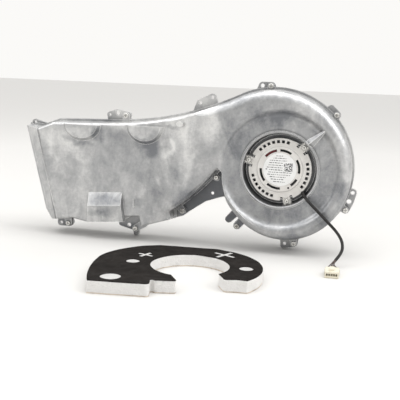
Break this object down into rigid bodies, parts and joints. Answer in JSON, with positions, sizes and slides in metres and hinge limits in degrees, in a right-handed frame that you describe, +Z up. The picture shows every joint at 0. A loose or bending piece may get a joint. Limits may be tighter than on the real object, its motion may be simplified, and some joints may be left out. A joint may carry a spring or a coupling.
{
  "type": "centrifugal duct blower",
  "caption": "Centrifugal blower: a cast scroll casing with a flat outlet duct, an external-rotor motor in its face, a wheel inside and a short motor lead.",
  "frame": {"origin": "centre of the inlet collar's mouth, on the wheel's spin axis", "axes": "+Y out of the inlet along the spin axis, so the motor side faces -Y; +Z up as the blower stands in use; the outlet duct runs towards -X"},
  "size_m": [0.4767, 0.3115, 0.2319],
  "materials": {
    "cast_aluminium": "as cast, mottled satin",
    "steel_plate": "warm light grey coated sheet",
    "zinc_steel": "bright zinc",
    "bare_steel": "plain",
    "lamination": "stacked sheet",
    "copper_wire": "enamelled",
    "magnet": "ferrite",
    "black_rubber": "matt",
    "gasket": "matt",
    "white_foam": "open-cell foam",
    "black_film": "thin film",
    "label_paper": "printed",
    "insulator": "moulded",
    "board": "solder mask",
    "component": "moulded",
    "black_sleeve": "braided sleeve",
    "wire_insulation": "PVC",
    "cream_plastic": "moulded",
    "brass": "stamped",
    "wheel_steel": "galvanised"
  },
  "bodies": {
    "housing": {"front_shell": "cast_aluminium", "front_screw_lugs": "cast_aluminium", "rear_shell": "cast_aluminium", "rear_ears": "cast_aluminium", "housing_gasket": "gasket", "housing_screws": "zinc_steel", "acoustic_pad": "white_foam", "acoustic_pad_film": "black_film", "motor_cover": "steel_plate", "motor_label": "label_paper", "motor_case": "cast_aluminium", "mount_grommets": "black_rubber", "mount_sleeves": "zinc_steel", "mount_washers": "zinc_steel", "mount_screws": "zinc_steel", "bearing_tube": "brass", "bearing_outer_rings": "bare_steel", "stator_core": "lamination", "stator_insulator": "insulator", "stator_windings": "copper_wire", "circuit_board": "board", "board_components": "component", "cable_grommet": "black_rubber", "motor_cable": "black_sleeve", "cable_leads": "wire_insulation", "connector_housing": "cream_plastic", "connector_contacts": "brass"},
    "rotor": {"rotor_cup": "bare_steel", "rotor_magnets": "magnet", "motor_shaft": "bare_steel", "bearing_inner_rings": "bare_steel", "bearing_balls": "bare_steel", "wheel_backplate": "wheel_steel", "wheel_blades": "wheel_steel", "wheel_shroud": "wheel_steel", "hub_nut": "zinc_steel"}
  },
  "joints": [
    {"name": "impeller_spin", "type": "hinge", "parent": "housing", "child": "rotor", "pos_m": [0, -0.042, 0], "axis": [0, 1, 0], "continuous": true}
  ]
}
